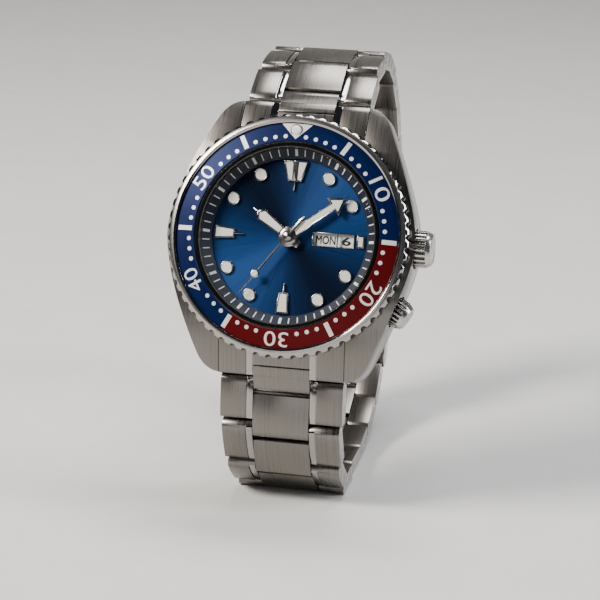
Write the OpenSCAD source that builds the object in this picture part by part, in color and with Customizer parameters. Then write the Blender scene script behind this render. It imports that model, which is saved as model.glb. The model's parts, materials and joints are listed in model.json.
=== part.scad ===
// Diver's wristwatch on a steel link bracelet, standing closed on its lower links.
// +Z is up, +X is the 3 o'clock side and the dial looks toward -Y, leaning back.
// The origin is the centre of the flat underside of the fourth link row of the 6 o'clock strap.

/* [Case] */
// Width of the case from flank to flank
case_w = 43; // [42:0.1:45]
// Length of the case over the lug tips
lug_span = 47; // [46.4:0.1:48]
// Width over the shoulders of the lugs
shoulder_w = 29.8; // [28.5:0.1:31]
// Distance from the centre line to the lug shoulders
shoulder_y = 20.4; // [19.8:0.1:21]
// Gap between a pair of lugs, which is the strap width
lug_gap = 22; // [21.6:0.1:22.4]
// Height of the middle case from its underside to the bezel platform
case_h = 7.3; // [7:0.1:8]
// Radius of the arc that the top of each lug falls along
lug_fall_r = 34; // [30:1:40]
// How far the lug tips reach below the underside of the middle case
lug_drop = 1.3; // [0.8:0.1:1.6]
// Radius of the round barrel that shows between the lugs
barrel_r = 18.3; // [18:0.1:18.6]
// Radius of the bore that holds the movement
cavity_r = 14.6; // [14.4:0.1:14.8]
// Outer radius of the neck that the bezel turns on
neck_r = 15.75; // [15.6:0.05:15.9]
// Wall of the neck
neck_wall = 0.55; // [0.4:0.05:0.7]
// Height of the neck above the bezel platform
neck_h = 3; // [2.6:0.1:3.2]

/* [Case back] */
// Radius of the flange of the screwed case back
back_r = 17.4; // [17:0.1:17.8]
// Thickness of the flange
back_flange_t = 1; // [0.8:0.1:1.2]
// Radius of the threaded rim
back_thread_r = 15.8; // [15.6:0.1:16]
// Depth of the threaded rim inside the case
back_thread_h = 1.7; // [1.4:0.1:2]
// Radius of the raised middle
back_boss_r = 15.5; // [14.8:0.1:16]
// Height of the raised middle
back_boss_h = 1.3; // [1:0.1:1.6]
// Thickness of the case back floor
back_floor_t = 1; // [0.8:0.1:1.2]
// Number of key slots for opening the case back
back_slots = 6; // [4:1:8]

/* [Bezel] */
// Outer radius of the turning bezel
bezel_r = 20.75; // [20.2:0.05:21]
// Height of the bezel
bezel_h = 2.95; // [2.8:0.05:3.2]
// Number of grip notches around the bezel
notch_count = 60; // [30:6:60]
// Radius of one grip notch
notch_r = 0.62; // [0.5:0.02:0.7]
// How far the centre of a notch lies outside the bezel
notch_out = 0.14; // [0.1:0.02:0.3]
// Outer radius of the coloured insert
insert_r = 19.2; // [18.9:0.05:19.4]
// Thickness of the insert
insert_t = 0.5; // [0.4:0.05:0.6]
// How far the insert falls from its inner edge to its outer edge
insert_fall = 0.68; // [0.5:0.02:0.8]
// Radius of the lume pearl at the zero mark
pearl_r = 0.85; // [0.7:0.05:0.95]

/* [Crystal and dial] */
// Thickness of the crystal
crystal_t = 1.4; // [1.2:0.1:1.6]
// Thickness of the dial
dial_t = 0.4; // [0.3:0.05:0.5]
// Radius of the dial opening in the chapter ring
dial_open_r = 13.42; // [13.2:0.02:13.6]
// Distance from the centre to the round hour markers
marker_r = 11.87; // [11.6:0.05:12.1]
// Diameter of the round hour markers
marker_d = 2.3; // [2:0.05:2.5]
// Height of the hour markers above the dial
marker_h = 0.4; // [0.3:0.05:0.5]
// Rim of the hour markers around their lume
marker_rim = 0.25; // [0.15:0.01:0.3]
// Height of the day and date window
window_h = 2.1; // [1.9:0.05:2.3]
// Length of the day window
day_window_l = 4.1; // [3.8:0.05:4.2]
// Length of the date window
date_window_l = 2.7; // [2.4:0.05:2.9]

/* [Hands] */
// Length of the hour hand
hour_l = 7.9; // [7.5:0.1:8.2]
// Length of the minute hand
minute_l = 12.3; // [11.8:0.1:12.8]
// Length of the second hand
second_l = 12.6; // [12:0.1:13]
// Thickness of the hour and minute hands
hand_t = 0.18; // [0.14:0.01:0.2]
// Width of the steel rim around the lume of the hour and minute hands
hand_rim = 0.28; // [0.2:0.01:0.3]
// Clock angle of the hour hand
hour_angle = 304.4; // [0:0.1:360]
// Clock angle of the minute hand
minute_angle = 52.6; // [0:0.1:360]
// Clock angle of the second hand
second_angle = 216.4; // [0:0.1:360]

/* [Crowns] */
// Radius of the main crown at 3 o'clock
crown_r = 3.15; // [2.9:0.05:3.2]
// Length of the main crown
crown_l = 3.9; // [3.6:0.1:4.2]
// Radius of the second crown at 4 o'clock
crown2_r = 2.5; // [2.3:0.05:2.7]
// Length of the second crown
crown2_l = 4.6; // [4.3:0.1:4.9]
// Clock angle of the second crown
crown2_angle = 120; // [118:1:122]
// Number of flutes around each crown
flute_count = 20; // [18:2:30]
// Depth of a crown flute
flute_depth = 0.28; // [0.2:0.01:0.3]
// Radius of the winding stems
stem_r = 0.45; // [0.4:0.01:0.5]

/* [Bracelet] */
// Distance between neighbouring hinges of the bracelet
link_pitch = 8; // [7.8:0.1:8.2]
// Thickness of the links
link_t = 3.1; // [2.9:0.05:3.2]
// How much lower the outer face of a link is at its cut end than in its middle
link_crown = 0.28; // [0.1:0.02:0.35]
// Width of the first row next to the case
first_row_w = 21.4; // [20.8:0.1:21.5]
// Width of the last rows next to the clasp
last_row_w = 18; // [17.4:0.1:18.4]
// How much narrower each row is than the one before
row_taper = 0.8; // [0.6:0.05:1]
// Width of the centre links
centre_w = 9.8; // [9.4:0.1:10]
// Width of the polished strip on the inner side of each outer link
strip_w = 1; // [0.8:0.05:1.2]
// Width of the groove beside the strip
groove_w = 0.15; // [0.1:0.01:0.2]
// Depth of the groove beside the strip
groove_d = 0.35; // [0.25:0.01:0.4]
// How much lower the strip lies than the brushed face
strip_drop = 0.12; // [0.08:0.01:0.2]
// Radius of the hinge pins
pin_r = 0.5; // [0.45:0.01:0.55]
// Distance of the first hinge beyond the barrel of the case
hinge_reach = 6.3; // [6.2:0.05:6.5]
// Depth of the first hinge below the minute ring
first_hinge_z = 7.8; // [7.6:0.05:8]

/* [Clasp] */
// Thickness of the clasp cover plate
cover_t = 1; // [0.9:0.05:1.1]
// Width of the clasp cover
cover_w = 18.4; // [18.2:0.1:18.8]
// Wall of the clasp cover
cover_wall = 1; // [0.8:0.05:1.1]
// Thickness of the folding blades
blade_t = 0.8; // [0.7:0.05:0.85]
// Width of the folding blades
blade_w = 11; // [10.8:0.1:11.2]
// Radius of the clasp hinge knuckles
knuckle_r = 0.8; // [0.75:0.01:0.82]
// Radius of the clasp hinge pins
clasp_pin_r = 0.4; // [0.35:0.01:0.42]
// Radius of the push button heads
button_r = 1.05; // [0.9:0.05:1.1]
// How far the push buttons stand out of the cover
button_out = 0.7; // [0.6:0.05:0.8]

/* [Stance] */
// Elevation of the dial's gaze above the horizon
lean = 23.7; // [22:0.1:25]

/* [Hidden] */
$fn = 96;

// Headings of the link rows, in degrees from level, as the closed loop stands
heads_12 = [28, 6, -16, -36, -52, -68, -84];
heads_6 = [-97, -71, -42, 0, 0, 12, 26, 44];
stand_row = 3;

// Small gaps
seat_gap = 0.1;
run_gap = 0.08;
pin_gap = 0.03;
link_gap = 0.25;
side_gap = 0.12;

// Heights in the watch frame, where 0 is the plane of the minute marks
platform_z = -1.3;
case_floor_z = platform_z - case_h;
lug_floor_z = case_floor_z - lug_drop;
dial_z = -1;
dial_floor_z = dial_z - dial_t;
neck_top_z = platform_z + neck_h;
neck_bore_r = neck_r - neck_wall;
crystal_z = 0.85;
bezel_z = platform_z + 0.15;
bezel_top_z = bezel_z + bezel_h;
insert_top_z = bezel_top_z + 0.2;
disc_t = 0.25;
disc_z = dial_floor_z - 0.1 - disc_t;
plate_top_z = disc_z - 0.1;
plate_floor_z = plate_top_z - 2.05;
bridge_top_z = plate_floor_z - 2.2;
bridge_t = 1;
back_floor_z = case_floor_z - back_flange_t - back_boss_h + back_floor_t;
crown_z = platform_z - 3.3;
plate_r = cavity_r - 1.6;

// Steel that spans the lug gap beside the end links
lug_flat_y = 8;
lug_rise_y = 14;
fall = function(y) y < lug_flat_y ? 0
  : lug_fall_r - sqrt(lug_fall_r * lug_fall_r - (y - lug_flat_y) * (y - lug_flat_y));
bend = function(a, c, b, n) [for (i = [0:n])
  let (t = i / n) a * (1 - t) * (1 - t) + c * 2 * t * (1 - t) + b * t * t];
arc = function(c, r, a0, a1, n) [for (i = [0:n])
  c + r * [cos(a0 + (a1 - a0) * i / n), sin(a0 + (a1 - a0) * i / n)]];

// Bracelet layout in the upright plane through the middle of the watch
link_r = link_t / 2;
first_hinge_y = barrel_r + hinge_reach;
turn = 90 - lean;
tilt_point = function(y, z) [y * cos(turn) - z * sin(turn), y * sin(turn) + z * cos(turn)];
walk = function(p, heads, i) i == 0 ? p
  : walk(p, heads, i - 1) + link_pitch * [cos(heads[i - 1]), sin(heads[i - 1])];
hinges_12 = [for (i = [0:len(heads_12)]) walk(tilt_point(first_hinge_y, -first_hinge_z), heads_12, i)];
hinges_6 = [for (i = [0:len(heads_6)]) walk(tilt_point(-first_hinge_y, -first_hinge_z), heads_6, i)];
stand = hinges_6[stand_row] + [(link_r + link_gap + link_pitch) / 2, -link_r];
end_12 = hinges_12[len(heads_12)];
end_6 = hinges_6[len(heads_6)];
clasp_l = norm(end_12 - end_6);
clasp_heading = atan2(end_12.y - end_6.y, end_12.x - end_6.x);
row_w = function(i) max(last_row_w, first_row_w - row_taper * i);

// Clasp layout: along the clasp from the 6 o'clock hinge, and outward from the hinge line
cover_in = 1.2;
ear_r = 1.2;
notch_half = centre_w / 2 + side_gap;
fold_u = clasp_l - 2.7;
fold_w = cover_in;
turn_u = 3.3;
turn_w = -0.3;
button_u = 9;
button_w = 0.15;
button_travel = 0.5;
blade_outer_w = 0;
blade_inner_w = turn_w - knuckle_r - 0.2;

steel = [0.72, 0.72, 0.73];
polished = [0.85, 0.85, 0.87];
brass = [0.8, 0.7, 0.45];
lume = [0.93, 0.94, 0.88];
rubber = [0.1, 0.1, 0.1];

// ---------- placing ----------

module head() {
  translate([0, -stand.x, -stand.y]) rotate([turn, 0, 0]) children();
}

module at_clock(a) { rotate([0, 0, -a]) children(); }

// Turns what is drawn along +Z to point outward along a clock direction
module outward(a, z) {
  at_clock(a) translate([0, 0, z]) rotate([-90, 0, 0]) children();
}

module on_12(i) {
  p = hinges_12[i] - stand;
  translate([0, p.x, p.y]) rotate([heads_12[i], 0, 0]) children();
}

module on_6(i) {
  p = hinges_6[i] - stand;
  translate([0, p.x, p.y]) rotate([heads_6[i], 0, 0]) mirror([0, 0, 1]) children();
}

module on_clasp() {
  p = end_6 - stand;
  translate([0, p.x, p.y]) rotate([clasp_heading, 0, 0]) mirror([0, 0, 1]) children();
}

// Extrudes an outline drawn in the Y and Z plane from x0 to x1
module across(x0, x1) {
  translate([x0, 0, 0]) rotate([90, 0, 90]) linear_extrude(x1 - x0) children();
}

// Box across X from a corner in Y and Z to the opposite corner
module slab(x0, x1, a, b) {
  translate([x0, a.x, a.y]) cube([x1 - x0, b.x - a.x, b.y - a.y]);
}

module rod(x0, x1, p, r) {
  translate([x0, p.x, p.y]) rotate([0, 90, 0]) cylinder(h = x1 - x0, r = r);
}

module both_sides() {
  children();
  mirror([1, 0, 0]) children();
}

module both_ends() {
  children();
  mirror([0, 1, 0]) children();
}

module tube(r0, r1, z0, z1) {
  rotate_extrude() polygon([[r0, z0], [r1, z0], [r1, z1], [r0, z1]]);
}

module disc(r, z0, z1) { translate([0, 0, z0]) cylinder(h = z1 - z0, r = r); }

// ---------- case ----------

lug_tip = [lug_gap / 2, lug_span / 2];
shoulder = [shoulder_w / 2, shoulder_y];

module case_plan() {
  flank = bend([case_w / 2, 0], [case_w / 2, 0.3 * shoulder_y], shoulder, 14);
  tip = bend(shoulder, [shoulder.x - 1.3, lug_tip.y - 0.2], lug_tip, 8);
  quarter = concat(flank, [for (i = [1:8]) tip[i]]);
  last = len(quarter) - 1;
  polygon(concat(
    quarter,
    [for (i = [last:-1:0]) [-quarter[i].x, quarter[i].y]],
    [for (i = [1:last]) [-quarter[i].x, -quarter[i].y]],
    [for (i = [last:-1:1]) [quarter[i].x, -quarter[i].y]]));
}

function top_line(y0, y1, n, drop = 0) = [for (i = [0:n])
  let (y = y0 + (y1 - y0) * i / n) [y, platform_z - fall(y) - drop]];

module case_side() {
  tip_y = lug_tip.y + 0.1;
  under = bend([lug_rise_y, case_floor_z], [lug_rise_y + 5, lug_floor_z + 0.2],
    [lug_tip.y - 1.5, lug_floor_z], 6);
  half = concat([[0, platform_z]], top_line(lug_flat_y, tip_y, 10),
    bend([tip_y, lug_floor_z + 2], [tip_y, lug_floor_z], [lug_tip.y - 1.5, lug_floor_z], 5),
    [for (i = [5:-1:0]) under[i]], [[0, case_floor_z]]);
  polygon(concat(half, [for (i = [len(half) - 2:-1:1]) [-half[i].x, half[i].y]]));
}

module crown_pocket(a, r, floor_r) {
  outward(a, crown_z) translate([0, 0, floor_r]) cylinder(h = 8, r = r);
}

crown_base = case_w / 2 - 1.2;
crown2_base = case_w / 2 - 1.9;
tube_r = 1.5;

module mid_case() {
  color(steel) head() difference() {
    union() {
      intersection() {
        translate([0, 0, lug_floor_z - 1]) linear_extrude(case_h + lug_drop + 2) case_plan();
        across(-case_w, case_w) case_side();
      }
      disc(barrel_r, case_floor_z, platform_z);
      disc(neck_r, platform_z - 1, neck_top_z);
    }
    both_ends() difference() {
      slab(-lug_gap / 2, lug_gap / 2, [8, lug_floor_z - 2], [lug_span, 2]);
      disc(barrel_r, lug_floor_z - 3, 3);
    }
    disc(neck_bore_r, dial_floor_z, neck_top_z + 1);
    disc(cavity_r, case_floor_z - 1, dial_floor_z + 0.5);
    disc(back_thread_r + seat_gap, lug_floor_z - 1, case_floor_z + back_thread_h + seat_gap);
    disc(back_r + seat_gap, lug_floor_z - 2, case_floor_z);
    crown_pocket(90, crown_r + 0.3, crown_base - 0.15);
    crown_pocket(crown2_angle, crown2_r + 0.3, crown2_base - 0.15);
    for (a = [90, crown2_angle])
      outward(a, crown_z) translate([0, 0, cavity_r - 2]) cylinder(h = 12, r = tube_r + 0.02);
    both_ends() rod(-lug_gap / 2 - 1.4, lug_gap / 2 + 1.4, bar_at, bar_tip_r + 0.03);
  }
}

module crown_tubes() {
  color(steel) head() for (c = [[90, crown_base], [crown2_angle, crown2_base]])
    outward(c[0], crown_z) translate([0, 0, cavity_r + 0.3]) difference() {
      cylinder(h = c[1] + 1.5 - cavity_r - 0.3, r = tube_r);
      translate([0, 0, -1]) cylinder(h = 12, r = stem_r + run_gap);
    }
}

module case_back() {
  boss_floor = case_floor_z - back_flange_t - back_boss_h;
  color(steel) head() difference() {
    union() {
      tube(0, back_thread_r, case_floor_z - 0.5, case_floor_z + back_thread_h);
      disc(back_r, case_floor_z - back_flange_t, case_floor_z);
      disc(back_boss_r, boss_floor, case_floor_z - 0.5);
    }
    disc(back_thread_r - 1.4, back_floor_z, case_floor_z + back_thread_h + 1);
    for (i = [0:back_slots - 1]) rotate([0, 0, 360 / back_slots * (i + 0.5)])
      slab(-1.3, 1.3, [back_boss_r - 1.2, boss_floor - 1], [back_boss_r + 1, boss_floor + 0.7]);
  }
}

module case_back_gasket() {
  color(rubber) head() tube(back_thread_r - 0.9, back_thread_r - 0.1,
    case_floor_z + back_thread_h, case_floor_z + back_thread_h + seat_gap);
}

module bezel_click_spring() {
  color(steel) head() tube(click_r - 0.2, click_r + 0.2, platform_z, platform_z + 0.4);
}

// ---------- crystal and dial ----------

module crystal() {
  r = neck_bore_r - 0.25;
  top = crystal_z + crystal_t;
  color([0.8, 0.9, 1, 0.3]) head() rotate_extrude()
    polygon([[0, crystal_z], [r, crystal_z], [r, top - 0.35], [r - 0.35, top], [0, top]]);
}

module crystal_gasket() {
  color([0.9, 0.9, 0.9]) head()
    tube(neck_bore_r - 0.23, neck_bore_r - 0.02, ring_top_z + 0.05, neck_top_z - 0.05);
}

ring_top_z = 0.55;

module chapter_ring() {
  r = neck_bore_r - 0.08;
  color([0.1, 0.15, 0.3]) head() rotate_extrude()
    polygon([[dial_open_r, dial_z], [r, dial_z], [r, ring_top_z], [dial_open_r, -0.7]]);
}

window_in = 4.1;
window_bar = 0.2;
window_out = window_in + day_window_l + window_bar + date_window_l;

module window_area(grow) {
  translate([window_in - grow, -window_h / 2 - grow])
    square([window_out - window_in + 2 * grow, window_h + 2 * grow]);
}

module dial() {
  color([0.07, 0.2, 0.42]) head() difference() {
    disc(neck_bore_r - seat_gap, dial_floor_z, dial_z);
    disc(1, dial_floor_z - 1, dial_z + 1);
    translate([0, 0, dial_floor_z - 1]) linear_extrude(dial_t + 2) window_area(0);
  }
}

module window_frame() {
  rim = 0.18;
  color(polished) head() translate([0, 0, dial_z]) linear_extrude(0.22) {
    difference() {
      window_area(rim);
      window_area(0);
    }
    translate([window_in + day_window_l, -window_h / 2 - rim / 2])
      square([window_bar, window_h + rim]);
  }
}

baton_in = 9.5;
baton_out = 13;
baton_w = 2.2;

// Outline of a tapered baton from the inner width to the outer width
module baton(w_in, w_out, r_in, r_out, inset = 0) {
  slope = (w_out - w_in) / 2 / (r_out - r_in);
  a = w_in / 2 - inset * 1.1;
  b = w_out / 2 - inset * 1.1;
  polygon([[-a - slope * inset, r_in + inset], [a + slope * inset, r_in + inset],
    [b - slope * inset, r_out - inset], [-b + slope * inset, r_out - inset]]);
}

// The two halves of the wide baton at 12
module twelve(inset = 0) {
  gap = 0.25;
  both_sides_flat() polygon([
    [gap + inset, baton_in + inset], [1.16 - inset * 0.7, baton_in + inset],
    [2.13 - inset * 1.3, baton_out - inset], [gap + inset, baton_out - inset]]);
}

module both_sides_flat() {
  children();
  mirror([1, 0]) children();
}

module marker_plan(inset = 0) {
  twelve(inset);
  for (a = [180, 270]) rotate(-a) baton(1.6, baton_w, baton_in, baton_out, inset);
  translate([window_out + 0.6 + inset, -1.04 + inset]) square([1.25 - 2 * inset, 2.08 - 2 * inset]);
  for (h = [1, 2, 4, 5, 7, 8, 10, 11]) rotate(-30 * h) translate([0, marker_r])
    circle(r = marker_d / 2 - inset, $fn = 48);
}

module hour_markers() {
  color(polished) head() translate([0, 0, dial_z]) linear_extrude(marker_h) {
    difference() {
      marker_plan();
      marker_plan(marker_rim);
    }
    for (a = [0, 180, 270]) rotate(-a) baton(0.24, 0.3, 7.9, baton_in + 0.02);
    translate([-0.26, baton_in]) square([0.52, baton_out - baton_in]);
  }
}

module marker_lume() {
  color(lume) head() translate([0, 0, dial_z]) linear_extrude(marker_h + 0.03)
    marker_plan(marker_rim + 0.01);
}

// ---------- movement ----------

module stem_path(r) {
  for (a = [90, crown2_angle]) outward(a, crown_z) translate([0, 0, 8]) cylinder(h = 9, r = r);
}

module movement_holder() {
  color([0.85, 0.85, 0.8]) head() difference() {
    tube(plate_r + seat_gap, cavity_r - seat_gap, bridge_top_z, dial_floor_z);
    stem_path(0.9);
    lever_slots();
  }
}

barrel_at = [310, 0.55 * plate_r];
balance_at = [215, 0.615 * plate_r];
lever_at = plate_r - 2;
lever_l = 0.9;
lever_half_w = 1;
lever_travel = 1.6;

module at_part(p) { at_clock(p[0]) translate([0, p[1], 0]) children(); }

module mainplate() {
  color(brass) head() difference() {
    union() {
      disc(plate_r, plate_floor_z, plate_top_z);
      for (a = [90, crown2_angle]) at_clock(a)
        slab(-1.1, 1.1, [lever_at - 2.6, crown_z - 1], [lever_at - 0.9, plate_floor_z + 0.2]);
    }
    disc(hour_tube_r + run_gap, plate_floor_z - 1, plate_top_z + 1);
    stem_path(stem_r + run_gap);
    lever_slots();
  }
}

// Slots in which the levers slide when a crown is pulled
module lever_slots() {
  for (a = [90, crown2_angle]) at_clock(a)
    slab(-lever_half_w - 0.3, lever_half_w + 0.3, [lever_at - 0.4, crown_z - lever_half_w - 0.2],
      [lever_at + lever_l + lever_travel + 0.5, crown_z + lever_half_w + 0.2]);
}

module movement_bridge() {
  color([0.8, 0.8, 0.82]) head() difference() {
    union() {
      disc(plate_r, bridge_top_z - bridge_t, bridge_top_z);
      for (a = [20, 165, 260]) at_clock(a) translate([0, plate_r - 1.8, 0])
        disc(1.1, bridge_top_z - 0.5, plate_floor_z);
    }
    at_part(balance_at) disc(balance_r + 1.2, bridge_top_z - 3, bridge_top_z + 1);
  }
}

spring_barrel_r = 0.35 * plate_r;
arbor_r = 0.8;

module mainspring_barrel() {
  color(brass) head() at_part(barrel_at) {
    disc(spring_barrel_r, bridge_top_z + 0.25, plate_floor_z - 0.25);
    disc(arbor_r, bridge_top_z, plate_floor_z);
  }
}

balance_r = 0.27 * plate_r;
balance_z = (plate_floor_z + bridge_top_z) / 2;

module balance_wheel() {
  color(brass) head() at_part(balance_at) {
    tube(balance_r - 0.5, balance_r, balance_z - 0.2, balance_z + 0.2);
    for (a = [0, 90]) rotate([0, 0, a]) translate([-balance_r + 0.3, -0.25, balance_z - 0.12])
      cube([2 * balance_r - 0.6, 0.5, 0.24]);
    disc(0.5, balance_z - 0.4, balance_z + 0.4);
    disc(0.16, bridge_top_z + 0.04, plate_floor_z - 0.04);
  }
}

cock_half_w = 0.8;

module balance_cock() {
  foot = balance_r + 0.45;
  reach = foot + 0.6;
  color([0.8, 0.8, 0.82]) head() at_part(balance_at) {
    disc(cock_half_w + 0.3, bridge_top_z - bridge_t, bridge_top_z);
    slab(-cock_half_w, cock_half_w, [0, bridge_top_z - bridge_t], [reach, bridge_top_z]);
    slab(-cock_half_w, cock_half_w, [foot - 0.1, bridge_top_z - bridge_t], [reach, plate_floor_z]);
  }
}

bearing_r = 2;
rotor_top_z = bridge_top_z - bridge_t - 0.3;
rotor_t = 0.5;

module rotor_bearing() {
  color(steel) head() {
    disc(bearing_r, rotor_top_z - rotor_t - 0.2, bridge_top_z - bridge_t);
    disc(bearing_r + 0.5, rotor_top_z - rotor_t - 0.5, rotor_top_z - rotor_t - 0.1);
  }
}

module rotor() {
  rim_r = back_thread_r - 2.4;
  color(steel) head() difference() {
    union() {
      disc(bearing_r + 1.4, rotor_top_z - rotor_t, rotor_top_z);
      intersection() {
        union() {
          disc(rim_r, rotor_top_z - rotor_t, rotor_top_z);
          tube(rim_r - 2.2, rim_r, rotor_top_z - 1.5, rotor_top_z - 0.1);
        }
        translate([-20, -20, -20]) cube([40, 19, 20]);
      }
    }
    disc(bearing_r + run_gap, -20, 0);
  }
}

disc_split_r = 8.3;

module date_ring() {
  color("white") head() tube(disc_split_r, plate_r, disc_z, disc_z + disc_t);
}

module day_disc() {
  color("white") head() tube(1.4, disc_split_r - 0.12, disc_z, disc_z + disc_t);
}

// ---------- bezel ----------

bezel_bore_r = neck_r + run_gap;
insert_in_r = bezel_bore_r + 0.12;
click_r = 17.1;
seal_r = 0.3;

module bezel_ring() {
  seat_in = insert_top_z - insert_t;
  seat_out = seat_in - insert_fall;
  groove_h = 0.55;
  mid_z = bezel_z + 1.5;
  color(steel) head() difference() {
    rotate_extrude() polygon([
      [bezel_bore_r, bezel_z], [bezel_r - 0.5, bezel_z], [bezel_r, bezel_z + 0.5],
      [bezel_r, bezel_top_z - 0.7], [bezel_r - 0.5, bezel_top_z - 0.2],
      [insert_r + 0.35, bezel_top_z], [insert_r, bezel_top_z - 0.2],
      [insert_r, seat_out], [insert_in_r, seat_in], [bezel_bore_r, seat_in],
      [bezel_bore_r, mid_z + seal_r], [bezel_bore_r + 0.65, mid_z + seal_r],
      [bezel_bore_r + 0.65, mid_z - seal_r], [bezel_bore_r, mid_z - seal_r]]);
    tube(click_r - 0.5, click_r + 0.5, bezel_z - 1, bezel_z + groove_h);
    for (i = [0:notch_count - 1]) rotate([0, 0, 360 / notch_count * (i + 0.5)])
      translate([bezel_r + notch_out, 0, bezel_z - 1]) cylinder(h = bezel_h + 3, r = notch_r, $fn = 32);
  }
}

module bezel_insert() {
  color([0.1, 0.2, 0.5]) head() difference() {
    rotate_extrude() polygon([
      [insert_in_r, insert_top_z - insert_t], [insert_r, insert_top_z - insert_t - insert_fall],
      [insert_r, insert_top_z - insert_fall], [insert_in_r, insert_top_z]]);
    translate([0, pearl_at, 0]) disc(pearl_r + 0.02, -5, 5);
  }
}

pearl_at = (insert_in_r + insert_r) / 2 + 0.25;
pearl_floor_z = insert_top_z - insert_t + 0.03
  - insert_fall * (pearl_at - pearl_r - insert_in_r) / (insert_r - insert_in_r);

module bezel_pearl() {
  color(lume) head() translate([0, pearl_at, 0]) rotate_extrude() polygon([
    [0, pearl_floor_z], [pearl_r, pearl_floor_z], [pearl_r, pearl_floor_z + 0.5],
    [pearl_r * 0.7, pearl_floor_z + 0.7], [0, pearl_floor_z + 0.78]]);
}

module bezel_gasket() {
  color(rubber) head() rotate_extrude()
    translate([bezel_bore_r + 0.33, bezel_z + 1.5]) circle(r = seal_r - 0.02, $fn = 32);
}

// ---------- hands ----------

hour_tube_r = 0.75;
minute_tube_r = 0.5;
second_pin_r = 0.25;
hour_z = -0.35;
minute_z = 0.05;
second_z = 0.42;
second_t = 0.12;
tube_floor_z = plate_top_z - 0.8;

hour_wide_at = hour_l - 1.8;
hour_point_at = hour_l - 0.95;

module hour_plan(inset = 0) {
  slim = 0.74 - inset;
  wide = 1.06 - inset;
  point = 0.14 * (1 - inset * 3);
  polygon([[-slim, 1.5 + inset], [slim, 1.5 + inset], [wide, hour_wide_at - inset * 0.6],
    [point, hour_point_at - inset * 1.6], [-point, hour_point_at - inset * 1.6],
    [-wide, hour_wide_at - inset * 0.6]]);
}

module hour_hand() {
  color(polished) head() at_clock(hour_angle) difference() {
    union() {
      translate([0, 0, hour_z]) linear_extrude(hand_t) {
        difference() {
          union() {
            circle(r = 1.75);
            translate([-0.7, -2.3]) square([1.4, 3]);
            hour_plan();
            polygon([[-0.13, hour_l - 1.2], [0.13, hour_l - 1.2], [0.05, hour_l], [-0.05, hour_l]]);
          }
          hour_plan(hand_rim);
        }
      }
      disc(hour_tube_r, tube_floor_z, hour_z + 0.1);
    }
    disc(minute_tube_r + 0.05, tube_floor_z - 1, 2);
  }
}

module hour_hand_lume() {
  color(lume) head() at_clock(hour_angle) translate([0, 0, hour_z + 0.02])
    linear_extrude(hand_t) difference() {
      hour_plan(hand_rim + 0.01);
      circle(r = 1.77);
    }
}

arrow_at = minute_l - 3.25;
neck_at = 0.34 * minute_l;

module minute_plan(inset = 0) {
  slim = 0.7 - inset;
  wide = 0.9 - inset;
  head = 1.8 - inset * 2.2;
  point = 0.12 * (1 - inset);
  polygon([[-wide, 1 + inset], [wide, 1 + inset], [wide, neck_at - inset], [slim, neck_at + inset],
    [slim, arrow_at + inset], [head, arrow_at + inset],
    [point, minute_l - 0.75 - inset * 2], [-point, minute_l - 0.75 - inset * 2],
    [-head, arrow_at + inset], [-slim, arrow_at + inset], [-slim, neck_at + inset], [-wide, neck_at - inset]]);
}

module minute_hand() {
  color(polished) head() at_clock(minute_angle) difference() {
    union() {
      translate([0, 0, minute_z]) linear_extrude(hand_t) difference() {
        union() {
          circle(r = 1.4);
          minute_plan();
          polygon([[-0.12, minute_l - 1], [0.12, minute_l - 1], [0.07, minute_l], [-0.07, minute_l]]);
        }
        minute_plan(hand_rim);
      }
      disc(minute_tube_r, tube_floor_z, minute_z + 0.1);
      tube(0, 1.42, minute_z, minute_z + hand_t);
    }
    disc(second_pin_r + 0.05, tube_floor_z - 1, 2);
  }
}

module minute_hand_lume() {
  color(lume) head() at_clock(minute_angle) translate([0, 0, minute_z + 0.02])
    linear_extrude(hand_t) difference() {
      minute_plan(hand_rim + 0.01);
      circle(r = 1.44);
    }
}

lollipop_r = 0.72;
lollipop_at = 0.67 * second_l;

module second_hand() {
  color(polished) head() at_clock(second_angle) {
    translate([0, 0, second_z]) linear_extrude(second_t) {
      polygon([[-0.17, 0], [0.17, 0], [0.09, second_l], [-0.09, second_l]]);
      polygon([[-0.17, 0], [0.17, 0], [0.3, -3.6], [0, -4.4], [-0.3, -3.6]]);
      translate([0, lollipop_at]) circle(r = lollipop_r, $fn = 48);
      circle(r = 0.75, $fn = 48);
    }
    disc(second_pin_r, tube_floor_z, second_z + 0.28);
  }
}

// ---------- crowns ----------

module crown_shape(r, l, base) {
  shell = 1.5 + run_gap + 0.1;
  depth = 1.9;
  difference() {
    translate([0, 0, base]) rotate_extrude() polygon([
      [0, depth], [shell, depth], [shell, 0], [r - 0.35, 0], [r, 0.3], [r, l - 1.2],
      [r - 0.1, l - 1.05], [r - 0.45, l - 0.25], [r - 0.75, l - 0.1], [r - 1, l - 0.1],
      [r - 1.1, l - 0.2], [0, l]]);
    for (i = [0:flute_count - 1]) rotate([0, 0, 360 / flute_count * i])
      translate([r + 0.3 - flute_depth, 0, base - 1]) cylinder(h = l, r = 0.3, $fn = 24);
  }
}

module stem_shape(reach) {
  translate([0, 0, lever_at - 0.35]) cylinder(h = reach - lever_at + 0.35, r = stem_r);
  translate([0, 0, lever_at - 0.35]) cylinder(h = 0.35, r = stem_r + 0.25);
  translate([0, 0, lever_at + lever_l + 0.1]) cylinder(h = 0.35, r = stem_r + 0.25);
}

module lever_shape() {
  difference() {
    translate([-lever_half_w, -lever_half_w, lever_at + 0.05])
      cube([2 * lever_half_w, 2 * lever_half_w, lever_l]);
    translate([0, 0, lever_at - 1]) cylinder(h = 4, r = stem_r + 0.06);
  }
}

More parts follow.
